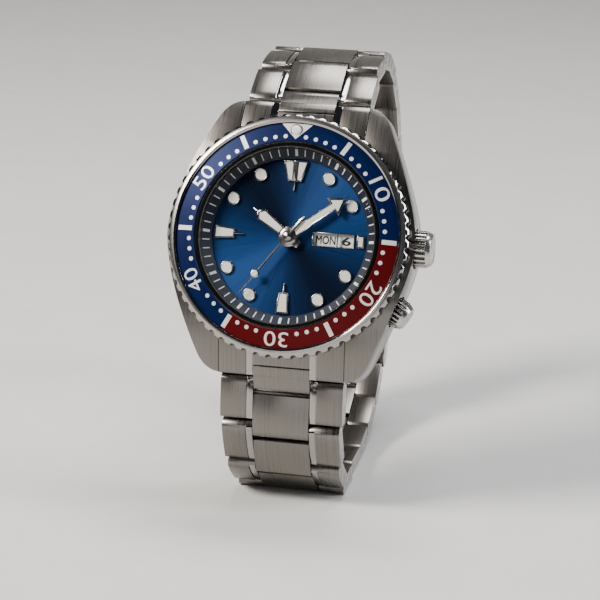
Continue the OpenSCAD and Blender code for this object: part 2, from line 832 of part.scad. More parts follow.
module crown_main() { color(steel) head() outward(90, crown_z) crown_shape(crown_r, crown_l, crown_base); }
module crown_second() {
  color(steel) head() outward(crown2_angle, crown_z) crown_shape(crown2_r, crown2_l, crown2_base);
}
module winding_stem() { color(steel) head() outward(90, crown_z) stem_shape(crown_base + 1.9); }
module second_stem() { color(steel) head() outward(crown2_angle, crown_z) stem_shape(crown2_base + 1.9); }
module setting_lever() { color(brass) head() outward(90, crown_z) lever_shape(); }
module second_lever() { color(brass) head() outward(crown2_angle, crown_z) lever_shape(); }

// ---------- bracelet ----------

cut_at = link_pitch - link_r - link_gap;
shoulder_turn = 25;

// Outer face of a link, from its round end to its cut end, lowered by drop
function crown_line(crowned, drop = 0) =
  let (a = link_r * [-sin(shoulder_turn), cos(shoulder_turn)], b = [cut_at, link_r - link_crown],
       peak = 2 * link_r - (a.y + b.y) / 2)
  crowned ? [for (p = bend(a, [(a.x + b.x) / 2, peak], b, 8)) p - [0, drop]]
  : [[0, link_r - drop], [cut_at, link_r - drop]];

// Outline of a link between a cut end and a round end, along the link and outward
module outer_plan(crowned) {
  start = crowned ? 90 + shoulder_turn : 90;
  line = crown_line(crowned);
  last = len(line) - 1;
  polygon(concat(arc([0, 0], link_r, start, 270, 14), [[cut_at, -link_r]],
    [for (i = [last:-1:1]) line[i]]));
}

module centre_plan(crowned) {
  translate([link_pitch, 0]) mirror([1, 0]) outer_plan(crowned);
}

// Groove and lowered strip cut into the outer face beside the centre link
module strip_cut(x0, crowned) {
  across(x0, x0 + strip_w + groove_w) above_crown(crowned, strip_drop);
  across(x0 + strip_w, x0 + strip_w + groove_w) above_crown(crowned, groove_d);
}

module above_crown(crowned, drop) {
  line = crown_line(crowned, drop);
  last = len(line) - 1;
  polygon(concat([[-link_t, line[0].y]], line, [[link_pitch, line[last].y], [link_pitch, link_t],
    [-link_t, link_t]]));
}

cross_pin_at = [link_r + link_gap + 1.6, 0];
cross_pin_r = 0.4;

module link_row(w, crowned = true) {
  both_sides() difference() {
    across(notch_half, w / 2) outer_plan(crowned);
    strip_cut(notch_half, crowned);
    rod(0, w, [0, 0], pin_r + 0.02);
    rod(0, w, cross_pin_at, cross_pin_r + 0.02);
  }
  difference() {
    across(-centre_w / 2, centre_w / 2) centre_plan(crowned);
    rod(-w, w, [link_pitch, 0], pin_r + pin_gap);
    rod(-w, w, cross_pin_at, cross_pin_r + 0.02);
  }
  rod(-w / 2, w / 2, [0, 0], pin_r);
  rod(-w / 2, w / 2, cross_pin_at, cross_pin_r);
}

module link_12(i) {
  last = i == len(heads_12);
  color(steel) difference() {
    on_12(i - 1) link_row(row_w(i - 1));
    if (last) on_clasp() fork_relief();
  }
  if (last) color(polished) on_12(i - 1) spring_bar();
}

// Corner cut from the last outer links, which the fork of the inner blade swings past
module fork_relief() {
  both_sides() slab(centre_w / 2 + seat_gap, fork_w + 0.15,
    [clasp_l + 0.6, -link_t], [clasp_l + ear_r + 0.2, -0.9]);
}

// The two rows that the watch stands on keep a flat outer face
module link_6(i) {
  stands = i - 1 == stand_row || i - 1 == stand_row + 1;
  color(steel) on_6(i - 1) link_row(row_w(i - 1), !stands);
}

// Spring bar with its tips drawn in, inside the last centre link
module spring_bar() {
  rod(-centre_w / 2 + 0.2, centre_w / 2 - 0.2, [link_pitch, 0], pin_r);
}

bar_r = 0.75;
bar_at = [first_hinge_y - link_r - 2 * bar_r - 0.95, -first_hinge_z + 0.6];
bar_tip_r = 0.4;

module end_link_plan(round_end) {
  hinge = [first_hinge_y, -first_hinge_z];
  floor_z = -first_hinge_z - link_r;
  reach = link_r + link_gap;
  y0 = barrel_r - 4;
  if (round_end) {
    polygon(concat([[y0, floor_z + 0.4], [y0 + 1, floor_z]], arc(hinge, link_r, -90, 75, 14),
      [for (p = top_line(lug_tip.y - 0.7, y0, 10)) p]));
  } else {
    polygon(concat([[y0, floor_z + 0.4], [y0 + 1, floor_z]], [hinge + reach * [cos(235), sin(235)] + [0, -0.05]],
      arc(hinge, reach, 235, 125, 10), top_line(lug_tip.y + 0.05, y0, 10)));
  }
}

// Where the groove runs across the middle of an end link
tongue_line_y = lug_tip.y - 1.7;

module end_link() {
  half_w = lug_gap / 2 - side_gap;
  inner = notch_half;
  difference() {
    union() {
      across(-centre_w / 2, centre_w / 2) end_link_plan(true);
      across(-half_w, half_w) end_link_plan(false);
    }
    both_sides() {
      across(inner, inner + strip_w + groove_w) above_line(strip_drop);
      across(inner + strip_w, inner + strip_w + groove_w) above_line(groove_d);
      across(inner - groove_w, inner) above_line(groove_d);
    }
    disc(barrel_r + seat_gap, -20, 5);
    across(-centre_w / 2 - groove_w, centre_w / 2 + groove_w) intersection() {
      above_line(groove_d);
      translate([tongue_line_y, -20]) square([groove_w + 0.1, 25]);
    }
    rod(-20, 20, bar_at, bar_r + 0.02);
    rod(-20, 20, [first_hinge_y, -first_hinge_z], pin_r + pin_gap);
  }
}

module above_line(drop) {
  line = top_line(barrel_r - 4, lug_tip.y + 0.3, 10, drop);
  polygon(concat(line, [[lug_tip.y + 0.3, 3], [barrel_r - 4, 3]]));
}

module end_link_12() { color(steel) head() end_link(); }
module end_link_6() { color(steel) head() mirror([0, 1, 0]) end_link(); }

module end_link_bars() {
  color(polished) head() both_ends() {
    rod(-lug_gap / 2 + 0.3, lug_gap / 2 - 0.3, bar_at, bar_r);
    rod(-lug_gap / 2 - 1.2, lug_gap / 2 + 1.2, bar_at, bar_tip_r);
  }
}

// ---------- clasp ----------

knuckle_in = 2;
knuckle_out = 3.8;

// Plate with its folded ears at the 6 o'clock end and hinge lugs at the other end
module clasp_cover() {
  top = cover_in + cover_t;
  half_w = cover_w / 2;
  lug_ring = top - fold_w;
  color(steel) on_clasp() {
    difference() {
      union() {
        slab(-half_w, half_w, [link_r + link_gap + 0.2, cover_in], [fold_u, top]);
        both_sides() across(knuckle_in + 0.1, knuckle_out)
          polygon(concat(arc([fold_u, fold_w], lug_ring, -90, 90, 12),
            [[fold_u - 1.6, top], [fold_u - 1.6, fold_w]]));
        both_sides() across(half_w - cover_wall, half_w)
          polygon([[1, -link_r], [0, -link_r + 0.1], [-0.9, -link_r + 0.6], [-link_r, 0], [-0.9, link_r - 0.4],
            [1.4, top], [fold_u - 0.4, top], [fold_u - 0.4, 0.6], [fold_u - 3, -1], [3, -link_r]]);
        both_sides() across(notch_half, half_w - 0.1)
          polygon(concat(arc([0, 0], ear_r, 90, 270, 14), [[1.2, -ear_r], [2.2, cover_in + 0.1],
            [2.2, top], [1.4, top]]));
      }
      slab(-knuckle_in - 0.1, knuckle_in + 0.1, [fold_u - 1.4, 0], [clasp_l, 5]);
      rod(-20, 20, [0, 0], pin_r + 0.02);
      rod(-6, 6, [fold_u, fold_w], clasp_pin_r + 0.02);
      rod(-20, 20, [button_u, button_w], button_stem_r + run_gap);
    }
    rod(-half_w, half_w, [0, 0], pin_r);
    rod(-knuckle_out, knuckle_out, [fold_u, fold_w], clasp_pin_r);
  }
}

module clasp_blade_outer() {
  half_w = blade_w / 2;
  color(polished) on_clasp() {
    difference() {
      union() {
        slab(-half_w, half_w, [turn_u + knuckle_r + 0.2, blade_outer_w], [fold_u - lug_clear, blade_outer_w + blade_t]);
        across(-knuckle_in, knuckle_in) polygon(concat(
          arc([fold_u, fold_w], 0.75, 120, -60, 12), [[fold_u - 1.5, blade_outer_w],
          [fold_u - 2, blade_outer_w], [fold_u - 2, blade_outer_w + blade_t], [fold_u - 1.3, blade_outer_w + blade_t]]));
        across(-knuckle_in, knuckle_in) polygon(concat(
          arc([turn_u, turn_w], knuckle_r, 90, 290, 12), [[turn_u + 1.4, blade_outer_w],
          [turn_u + 1.4, blade_outer_w + blade_t], [turn_u + 0.5, blade_outer_w + blade_t]]));
      }
      rod(-20, 20, [fold_u, fold_w], clasp_pin_r + pin_gap);
      rod(-20, 20, [turn_u, turn_w], clasp_pin_r + 0.02);
    }
    rod(-knuckle_out, knuckle_out, [turn_u, turn_w], clasp_pin_r);
  }
}

lug_clear = cover_t + 0.5;

// Where the arms of the inner blade's fork start, far enough back to swing past the last link
fork_root = clasp_l - 8.6;
fork_w = blade_w / 2 + 0.9;

module clasp_blade_inner() {
  half_w = blade_w / 2;
  color(polished) on_clasp() difference() {
    union() {
      slab(-half_w, half_w, [turn_u + knuckle_r + 0.25, blade_inner_w], [clasp_l - 1, blade_inner_w + blade_t]);
      both_sides() across(knuckle_in + 0.1, knuckle_out) polygon(concat(
        arc([turn_u, turn_w], knuckle_r, 70, 270, 12), [[turn_u + 2, turn_w - knuckle_r - 0.2],
        [turn_u + 2, turn_w - knuckle_r - 0.2 + blade_t], [turn_u + 0.9, turn_w - 0.3]]));
      both_sides() across(notch_half, fork_w) polygon(concat(
        arc([clasp_l, 0], ear_r, -90, 110, 14), [[clasp_l - 1.2, blade_inner_w + blade_t],
        [fork_root, blade_inner_w + blade_t], [fork_root, blade_inner_w], [clasp_l - 0.6, blade_inner_w]]));
    }
    slab(-notch_half, notch_half, [fork_root + 2.2, -5], [clasp_l + 5, 5]);
    rod(-20, 20, [clasp_l, 0], pin_r);
    rod(-20, 20, [turn_u, turn_w], clasp_pin_r + pin_gap);
  }
}

button_stem_r = 0.6;

module clasp_button() {
  wall_x = cover_w / 2;
  color(polished) on_clasp() {
    rod(wall_x + button_travel + 0.05, wall_x + button_travel + button_out, [button_u, button_w], button_r);
    rod(blade_w / 2 + button_travel + 0.3, wall_x + button_travel + 0.2, [button_u, button_w], button_stem_r);
    rod(wall_x - cover_wall - 0.45, wall_x - cover_wall - 0.05, [button_u, button_w], button_stem_r + 0.25);
  }
}

module clasp_button_right() { clasp_button(); }
module clasp_button_left() { mirror([1, 0, 0]) clasp_button(); }

// ---------- drawing ----------

mid_case();
case_back();
case_back_gasket();
crystal();
crystal_gasket();
chapter_ring();
dial();
hour_markers();
marker_lume();
window_frame();
movement_holder();
mainplate();
movement_bridge();
mainspring_barrel();
balance_cock();
balance_wheel();
rotor_bearing();
rotor();
date_ring();
day_disc();
crown_tubes();
bezel_click_spring();
bezel_ring();
bezel_insert();
bezel_pearl();
bezel_gasket();
hour_hand();
hour_hand_lume();
minute_hand();
minute_hand_lume();
second_hand();
crown_main();
winding_stem();
setting_lever();
crown_second();
second_stem();
second_lever();
end_link_12();
end_link_6();
end_link_bars();
clasp_cover();
clasp_blade_outer();
clasp_blade_inner();
clasp_button_left();
clasp_button_right();
for (i = [1:len(heads_12)])
  link_12(i);
for (i = [1:len(heads_6)])
  link_6(i);
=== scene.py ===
# %% [markdown]
# # A diver's wristwatch on a steel link bracelet
# The watch stands closed on its lower links and looks up at the reader. Its solids come from
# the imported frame, already in place and in metres. This lesson dresses them: it adds what is
# printed on the bezel, the ring and the discs, rounds the edges that catch light, and makes
# one material for each real finish.

# %% Load the solids
import json
import math
import bmesh
import bpy
from mathutils import Matrix, Quaternion, Vector


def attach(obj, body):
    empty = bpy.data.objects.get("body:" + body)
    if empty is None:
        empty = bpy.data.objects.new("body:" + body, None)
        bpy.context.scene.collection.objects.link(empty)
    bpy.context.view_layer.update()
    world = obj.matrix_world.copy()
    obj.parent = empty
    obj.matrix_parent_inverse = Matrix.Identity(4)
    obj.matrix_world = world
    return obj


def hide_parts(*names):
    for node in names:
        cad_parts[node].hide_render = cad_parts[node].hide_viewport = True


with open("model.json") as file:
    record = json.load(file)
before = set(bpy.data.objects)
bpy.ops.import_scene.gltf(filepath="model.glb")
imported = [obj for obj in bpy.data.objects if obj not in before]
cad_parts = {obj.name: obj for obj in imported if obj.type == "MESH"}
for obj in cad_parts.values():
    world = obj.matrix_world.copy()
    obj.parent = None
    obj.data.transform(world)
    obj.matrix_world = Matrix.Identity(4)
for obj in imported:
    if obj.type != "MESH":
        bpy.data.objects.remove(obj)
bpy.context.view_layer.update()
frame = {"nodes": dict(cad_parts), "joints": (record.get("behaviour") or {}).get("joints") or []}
nodes = frame["nodes"]

# %% [markdown]
# ## Where the dial is
# A watch is drawn most easily with the dial flat: X toward 3 o'clock, Y toward 12 and Z out
# through the crystal. Here the head leans back on its bracelet. The joint that the bezel
# turns on gives the centre of the dial and the way it looks, so one matrix leads from that
# easy frame to the standing watch, and every later step can speak in clock angles.

# %% Build the watch's own frame
mm = 0.001
bezel_joint = next(j for j in frame["joints"] if j["name"] == "bezel_turn")
dial_centre = Vector(bezel_joint["pos_m"])
gaze = Vector(bezel_joint["axis"]).normalized()
three_o_clock = Vector((1, 0, 0))
twelve_o_clock = gaze.cross(three_o_clock).normalized()
head = Matrix((three_o_clock, twelve_o_clock, gaze)).transposed().to_4x4()
head.translation = dial_centre
to_head = head.inverted()
lean = math.atan2(twelve_o_clock.z, twelve_o_clock.y)
print("dial centre in mm:", [round(v / mm, 2) for v in dial_centre])
print("the head is tipped up by", round(math.degrees(lean), 1), "degrees")

# %% [markdown]
# ## Measuring the solids
# Print has to sit on its surface to a few hundredths of a millimetre. Radii and heights are
# therefore read from the solids, in the watch's own frame, and not typed in again.

# %% Read radii and heights in millimetres
def ring_points(node):
    spots = [to_head @ v.co / mm for v in nodes[node].data.vertices]
    return [(math.hypot(p.x, p.y), p.z) for p in spots]


def height_at(node, radius):
    reach = 0.06
    return max(z for r, z in ring_points(node) if abs(r - radius) < reach)


insert_spots = ring_points("bezel_insert")
insert_in = min(r for r, z in insert_spots)
insert_out = max(r for r, z in insert_spots)
insert_high = height_at("bezel_insert", insert_in)
insert_low = height_at("bezel_insert", insert_out)
print("insert radii", round(insert_in, 2), round(insert_out, 2))
print("insert heights", round(insert_high, 2), round(insert_low, 2))

ring_spots = ring_points("chapter_ring")
ring_in = min(r for r, z in ring_spots)
ring_out = max(r for r, z in ring_spots)
ring_low = height_at("chapter_ring", ring_in)
ring_high = height_at("chapter_ring", ring_out)
print("minute ring radii", round(ring_in, 2), round(ring_out, 2))


def on_insert(radius):
    part = (radius - insert_in) / (insert_out - insert_in)
    return insert_high + (insert_low - insert_high) * part


def on_minute_ring(radius):
    part = (radius - ring_in) / (ring_out - ring_in)
    return ring_low + (ring_high - ring_low) * part


# %% [markdown]
# ## Four small helpers
# Colours are written as the hex values a painter would pick from a chart. Those are sRGB,
# while the renderer counts in linear light, so one function turns them over. A second one
# starts a material with its constant values set straight on the shader. A third adds a node
# with its settings and its links, which keeps the node trees below short enough to read. The
# last one links an output to a socket of the shader.

# %% Colours, surfaces and nodes
def paint(code):
    values = [int(code[i:i + 2], 16) / 255 for i in (1, 3, 5)]
    return [v / 12.92 if v <= 0.04045 else ((v + 0.055) / 1.055) ** 2.4 for v in values] + [1]


def surface(name, **constants):
    material = bpy.data.materials.new(name)
    material.use_nodes = True
    shader = material.node_tree.nodes["Principled BSDF"]
    for socket, value in constants.items():
        label = socket.replace("_", " ").title().replace("Ior", "IOR")
        shader.inputs[label].default_value = value
    return material, shader


def add(material, kind, sockets=None, **settings):
    node = material.node_tree.nodes.new(kind)
    for name, value in settings.items():
        setattr(node, name, value)
    for name, value in (sockets or {}).items():
        if isinstance(value, bpy.types.NodeSocket):
            material.node_tree.links.new(value, node.inputs[name])
        else:
            node.inputs[name].default_value = value
    return node


def link(material, source, target):
    material.node_tree.links.new(source, target)


# %% [markdown]
# ## Satin steel, brushed along the strap
# The case, the links and the clasp are 316L stainless steel. The maker draws an abrasive belt
# along them, which leaves fine parallel scratches. Light then spreads across the scratches
# and stays tight along them, and that gives the soft silky bands. Real scratches are about
# 0.05 mm apart. They are drawn 0.15 mm apart here, because finer ones vanish at this
# distance. The noise is stretched in Y and Z alike, so one material serves every link,
# whichever way the strap bends.

# %% Brushed steel
streak_gap = 0.15 * mm
streak_run = 9 * mm
centre_link_w = 5.7 * mm


def brushed_steel(name, dark, bright, low, high):
    steel, shader = surface(name, metallic=1.0)
    place = add(steel, "ShaderNodeTexCoord").outputs["Object"]
    grain = add(steel, "ShaderNodeMapping", {
        "Vector": place, "Scale": (1 / streak_gap, 1 / streak_run, 1 / streak_run)})
    streaks = add(steel, "ShaderNodeTexNoise", {"Vector": grain.outputs[0], "Scale": 1,
                                                "Detail": 4})
    rough = add(steel, "ShaderNodeMapRange", {"Value": streaks.outputs[0], "From Min": 0.3,
                                              "From Max": 0.7, "To Min": low, "To Max": high})
    tint = add(steel, "ShaderNodeMix", {"Factor": streaks.outputs[0], 6: paint(dark),
                                        7: paint(bright)}, data_type="RGBA")
    relief = add(steel, "ShaderNodeBump", {"Height": streaks.outputs[0], "Strength": 0.2,
                                           "Distance": 0.02 * mm})
    link(steel, tint.outputs[2], shader.inputs["Base Color"])
    link(steel, rough.outputs[0], shader.inputs["Roughness"])
    link(steel, relief.outputs[0], shader.inputs["Normal"])
    return steel


satin_steel = brushed_steel("satin_brushed_stainless_steel", "#6a6662", "#86827d", 0.26, 0.35)
print("streaks per link width:", round(centre_link_w / streak_gap))

# %% [markdown]
# ## Polished steel
# The strips beside the centre links and the bevels of the case are buffed on a felt wheel.
# What is left is a mirror with the faintest haze of hairline scratches, so the roughness is
# low and only drifts a little. The same recipe gives the duller grades: the flanks, the
# milled notches of the bezel, the crowns from the tumbling barrel and the plated hands. The
# flanks and the notches get far darker colours than the mirror. That is painted shade: a
# painted dark reflection on the flanks and painted shade inside the notches.

# %% Polished steel
hairline = 0.25 * mm


def polished_steel(name, colour, low, high):
    steel, shader = surface(name, metallic=1.0, base_color=paint(colour))
    place = add(steel, "ShaderNodeTexCoord").outputs["Object"]
    haze = add(steel, "ShaderNodeTexNoise", {"Vector": place, "Scale": 1 / hairline, "Detail": 3})
    rough = add(steel, "ShaderNodeMapRange", {"Value": haze.outputs[0], "From Min": 0.35,
                                              "From Max": 0.65, "To Min": low, "To Max": high})
    link(steel, rough.outputs[0], shader.inputs["Roughness"])
    return steel


mirror_steel = polished_steel("polished_stainless_steel", "#a39f9b", 0.07, 0.1)
# Painted dark reflection: the flank steel is a much darker copy of the polished steel.
flank_steel_painted_dark = polished_steel("buffed_steel_with_painted_shade", "#6b6865", 0.12, 0.15)
# Painted shade: the notch steel is much darker than the rest, standing for the shade in the
# notches.
notch_steel_painted_dark = polished_steel("notch_steel_with_painted_shade", "#4a4744", 0.33, 0.37)
fluted_steel = polished_steel("tumbled_stainless_steel", "#bdb9b4", 0.24, 0.28)
hand_steel = polished_steel("rhodium_plated_brass", "#b4b0ab", 0.18, 0.24)

# %% [markdown]
# ## Circular satin on turned parts
# The top of the bezel and the case back are turned on a lathe and left with rings of fine
# marks. To draw rings, the point is first taken into the head's frame. Its direction from
# the middle is kept coarse and its distance from the middle is kept fine, with one mark per
# gap in millimetres. Turning the two scales round gives spokes, which is what a sunburst
# dial needs.

# %% Rings and spokes around the dial's centre
def around_dial(material, spoke, gap, in_head=False):
    spot = add(material, "ShaderNodeTexCoord").outputs["Object"]
    if not in_head:
        spot = add(material, "ShaderNodeMapping",
                   {"Vector": spot, "Location": dial_centre, "Rotation": (lean, 0, 0)},
                   vector_type="TEXTURE").outputs[0]
    flat = add(material, "ShaderNodeVectorMath", {0: spot, 1: (1, 1, 0)}, operation="MULTIPLY")
    way = add(material, "ShaderNodeVectorMath", {0: flat.outputs[0]}, operation="NORMALIZE")
    far = add(material, "ShaderNodeVectorMath", {0: flat.outputs[0]}, operation="LENGTH")
    wide = add(material, "ShaderNodeVectorMath", {0: way.outputs[0], "Scale": spoke},
               operation="SCALE")
    deep = add(material, "ShaderNodeMath", {0: far.outputs["Value"], 1: 1 / (gap * mm)},
               operation="MULTIPLY")
    up = add(material, "ShaderNodeCombineXYZ", {"Z": deep.outputs[0]})
    both = add(material, "ShaderNodeVectorMath", {0: wide.outputs[0], 1: up.outputs[0]})
    return both.outputs[0], way.outputs[0]


turned_steel, turned_shader = surface("lathe_turned_stainless_steel", metallic=1.0,
                                      base_color=paint("#a8a4a0"))
rings, _ = around_dial(turned_steel, 3, 0.2)
marks = add(turned_steel, "ShaderNodeTexNoise", {"Vector": rings, "Scale": 1, "Detail": 3})
marks_rough = add(turned_steel, "ShaderNodeMapRange", {"Value": marks.outputs[0], "To Min": 0.16,
                                                       "To Max": 0.36})
marks_relief = add(turned_steel, "ShaderNodeBump", {"Height": marks.outputs[0], "Strength": 0.3,
                                                    "Distance": 0.015 * mm})
link(turned_steel, marks_rough.outputs[0], turned_shader.inputs["Roughness"])
link(turned_steel, marks_relief.outputs[0], turned_shader.inputs["Normal"])

# %% [markdown]
# ## Dressing the steel solids
# A solid keeps its shape; it only gets materials. Where one solid carries two finishes, each
# face is asked where it lies and which way it looks, and takes its material from the answer.

# %% Give solids their materials
def dress(names, *materials):
    for name in names:
        slots = nodes[name].data.materials
        slots.clear()
        for material in materials:
            slots.append(material)


def sort_faces(name, choose):
    for face in nodes[name].data.polygons:
        spot = to_head @ face.center / mm
        way = to_head.to_3x3() @ face.normal
        face.material_index = choose(spot, way)


links = sorted(name for name in nodes if name.startswith("link_"))
strap = links + ["end_link_12", "end_link_6"]
dress(strap + ["clasp_cover"], satin_steel, mirror_steel)
strip_in = 4.86
strip_out = 6.17
sideways = 0.7


def link_finish(spot, way):
    side = abs(way.x) > sideways
    strip = strip_in < abs(spot.x) < strip_out and abs(way.x) < 0.5
    return 1 if side or strip else 0


for name in strap:
    sort_faces(name, link_finish)
sort_faces("clasp_cover", lambda spot, way: 1 if abs(way.x) > sideways else 0)
print("link rows dressed:", len(links))

# %% [markdown]
# ## The middle case
# Its top is brushed like the strap. Its flanks are buffed, and so is the neck under the
# bezel. Both take the darker flank steel, whose colour is a painted dark reflection of the
# room they face. The narrow bevel that runs between top and flank is a full mirror. It is a
# real chamfer, made by a Bevel modifier on the sharp edges, because it is what draws the
# bright line around the case.

# %% Middle case
# Slot 1 on the case is the darker flank steel, a painted dark reflection on flanks and neck.
dress(["mid_case"], satin_steel, flank_steel_painted_dark, mirror_steel)
neck_r = 16
neck_foot = -1.35


def case_finish(spot, way):
    neck = math.hypot(spot.x, spot.y) < neck_r and spot.z > neck_foot
    flank = -0.8 < way.z < 0.6
    return 1 if neck or flank else 0


sort_faces("mid_case", case_finish)
buffed = [face for face in nodes["mid_case"].data.polygons if face.material_index]
print("faces buffed on the case:", len(buffed))

# %% [markdown]
# ## The other steel and brass solids
# The case back, the rotor, the bridges and the top of the bezel keep the rings of the lathe.
# The rims of the bezel are polished. Its milled notches get a very dark steel, which is
# painted shade for the shade inside them. The crowns and the blades of the clasp come grey
# from a tumbling barrel, the pins and stems stay bright, and the hands and the frames of the
# markers are plated. The mainplate, the barrel, the balance and the two levers are brass.

# %% Small metals
turned = ["case_back", "rotor", "rotor_bearing", "movement_bridge", "balance_cock"]
dress(turned, turned_steel)
# Slot 2 on the bezel is the dark notch steel, painted shade in the milled notches.
dress(["bezel_ring"], turned_steel, mirror_steel, notch_steel_painted_dark)
bezel_r = max(r for r, z in ring_points("bezel_ring"))
notch_in = 19.4
notch_out = bezel_r - 0.04


def bezel_finish(spot, way):
    notch = abs(way.z) < 0.5 and notch_in < math.hypot(spot.x, spot.y) < notch_out
    top = way.z > 0.9
    return 2 if notch else 0 if top else 1


sort_faces("bezel_ring", bezel_finish)
dress(["crown_main", "crown_second", "clasp_blade_outer", "clasp_blade_inner"], fluted_steel)
dress(["crown_tubes", "winding_stem", "second_stem", "end_link_bars", "bezel_click_spring",
       "clasp_button_left", "clasp_button_right"], mirror_steel)
dress(["hour_hand", "minute_hand", "second_hand", "hour_markers", "window_frame"], hand_steel)

brass, brass_shader = surface("rolled_brass", metallic=1.0)
rings, _ = around_dial(brass, 3, 0.3)
brass_marks = add(brass, "ShaderNodeTexNoise", {"Vector": rings, "Scale": 1, "Detail": 2})
brass_tint = add(brass, "ShaderNodeMix", {"Factor": brass_marks.outputs[0], 6: paint("#b8924a"),
                                          7: paint("#d4b671")}, data_type="RGBA")
brass_rough = add(brass, "ShaderNodeMapRange", {"Value": brass_marks.outputs[0],
                                                "To Min": 0.22, "To Max": 0.4})
link(brass, brass_tint.outputs[2], brass_shader.inputs["Base Color"])
link(brass, brass_rough.outputs[0], brass_shader.inputs["Roughness"])
dress(["mainplate", "mainspring_barrel", "balance_wheel", "setting_lever", "second_lever"], brass)

# %% [markdown]
# ## Rubber, nylon, lacquer and ink
# All of these scatter light instead of mirroring it. Moulded rubber is nearly black with a
# dull skin, nylon is milky, the disc lacquer is white with a slight orange peel, and printing
# ink dries to a thin matt film. Each one is the same recipe, a colour that drifts a little
# and a fine relief, with its own numbers.

# %% Moulded and painted finishes
def painted(name, colours, rough, grain, depth, **constants):
    skin, shader = surface(name, roughness=rough, **constants)
    place = add(skin, "ShaderNodeTexCoord").outputs["Object"]
    speck = add(skin, "ShaderNodeTexNoise", {"Vector": place, "Scale": 1 / (grain * mm),
                                             "Detail": 4})
    tint = add(skin, "ShaderNodeMix", {"Factor": speck.outputs[0], 6: paint(colours[0]),
                                       7: paint(colours[1])}, data_type="RGBA")
    relief = add(skin, "ShaderNodeBump", {"Height": speck.outputs[0], "Strength": 0.4,
                                          "Distance": depth * mm})
    link(skin, tint.outputs[2], shader.inputs["Base Color"])
    link(skin, relief.outputs[0], shader.inputs["Normal"])
    return skin


rubber = painted("moulded_nitrile_rubber", ("#141414", "#1e1e1e"), 0.65, 0.3, 0.02)
nylon = painted("moulded_nylon", ("#dcdad2", "#ebe9e2"), 0.45, 0.6, 0.01)
disc_white = painted("white_disc_lacquer", ("#efefec", "#f8f8f6"), 0.4, 0.5, 0.004)
ink_black = painted("black_printing_ink", ("#0b0b0c", "#15151a"), 0.5, 0.3, 0.004)
mark_white = painted("white_printing_ink", ("#d9d9d5", "#ecece8"), 0.45, 0.3, 0.004)
ring_navy = painted("navy_satin_paint", ("#0d1626", "#131f33"), 0.42, 0.5, 0.006)
dress(["case_back_gasket", "bezel_gasket", "crystal_gasket"], rubber)
dress(["movement_holder"], nylon)
dress(["date_ring", "day_disc"], disc_white)
dress(["chapter_ring"], ring_navy)

# %% [markdown]
# ## Luminous paint
# The markers, the hands and the pearl are filled with strontium aluminate pigment in clear
# binder. By day it is a chalky, slightly creamy white. The grains are about 0.03 mm and are
# drawn at 0.12 mm so that they show as a faint mottling.

# %% Lume
lume = painted("strontium_aluminate_lume", ("#dcdcd2", "#f1f0e8"), 0.6, 0.12, 0.01)
dress(["marker_lume", "hour_hand_lume", "minute_hand_lume", "bezel_pearl"], lume)

# %% [markdown]
# ## The crystal
# Flat mineral glass lies over the dial. Full refraction would turn the dial dark and noisy
# for no gain, since a flat pane hardly bends what is behind it. A clear surface with a low
# alpha keeps the two things that the eye reads as glass: its gloss and its bright rim.

# %% Mineral glass
glass_ior = 1.52
glass, glass_shader = surface("mineral_glass", base_color=paint("#0b0f14"), roughness=0.02,
                              ior=glass_ior)
rim = add(glass, "ShaderNodeFresnel", {"IOR": glass_ior})
clear = add(glass, "ShaderNodeMapRange", {"Value": rim.outputs[0], "To Min": 0.02,
                                          "To Max": 0.5})
link(glass, clear.outputs[0], glass_shader.inputs["Alpha"])
dress(["crystal"], glass)
nodes["crystal"].visible_shadow = False

# %% [markdown]
# ## Making a piece of our own
# Every new piece is drawn in millimetres in the head's frame, in a bmesh. One function then
# shrinks it to metres, stands it in the head's frame and makes it ride on a body, so that it
# turns when that body turns.

# %% Turn a drawing into a piece
def piece(name, drawing, body, slot_name, *materials):
    bmesh.ops.scale(drawing, vec=(mm, mm, mm), verts=drawing.verts)
    mesh = bpy.data.meshes.new(name)
    drawing.to_mesh(mesh)
    drawing.free()
    for material in materials:
        mesh.materials.append(material)
    thing = bpy.data.objects.new(name, mesh)
    bpy.context.scene.collection.objects.link(thing)
    thing.matrix_world = head
    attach(thing, body)
    print(name, "has", len(mesh.polygons), "faces")
    return thing


def at_clock(angle, side, out):
    turn = math.radians(angle)
    return (side * math.cos(turn) + out * math.sin(turn),
            out * math.cos(turn) - side * math.sin(turn))


# %% [markdown]
# ## The bezel insert
# The insert is a thin cone of aluminium, anodised and dyed blue, with the stretch from 15 to
# 35 minutes masked and dyed red. The dye sits in a clear oxide skin over bright metal, so the
# colour is deep and the gloss is soft. It is drawn as a lathe piece: one small outline swept
# round in fine steps, with the second colour on the steps between two clock angles. That
# keeps the border between the two colours perfectly sharp.

# %% Bezel insert
def anodised(name, dark, bright):
    metal, shader = surface(name, metallic=0.25, specular_ior_level=0.1, coat_weight=0.02,
                            coat_roughness=0.2)
    rings, _ = around_dial(metal, 4, 0.25, in_head=True)
    turned = add(metal, "ShaderNodeTexNoise", {"Vector": rings, "Scale": 1, "Detail": 3})
    tint = add(metal, "ShaderNodeMix", {"Factor": turned.outputs[0], 6: paint(dark),
                                        7: paint(bright)}, data_type="RGBA")
    rough = add(metal, "ShaderNodeMapRange", {"Value": turned.outputs[0], "To Min": 0.3,
                                              "To Max": 0.46})
    link(metal, tint.outputs[2], shader.inputs["Base Color"])
    link(metal, rough.outputs[0], shader.inputs["Roughness"])
    return metal


blue_anodised = anodised("blue_anodised_aluminium", "#051036", "#081c49")
red_anodised = anodised("red_anodised_aluminium", "#43060a", "#5c090e")


def insert_outline():
    thick = 0.42
    room = 0.02
    break_edge = 0.08
    near = insert_in + room
    far = insert_out - room
    return [(near, on_insert(near) - thick), (far, on_insert(far) - thick),
            (far, on_insert(far) - break_edge), (far - break_edge, on_insert(far)),
            (near + break_edge, on_insert(near)), (near, on_insert(near) - break_edge)]


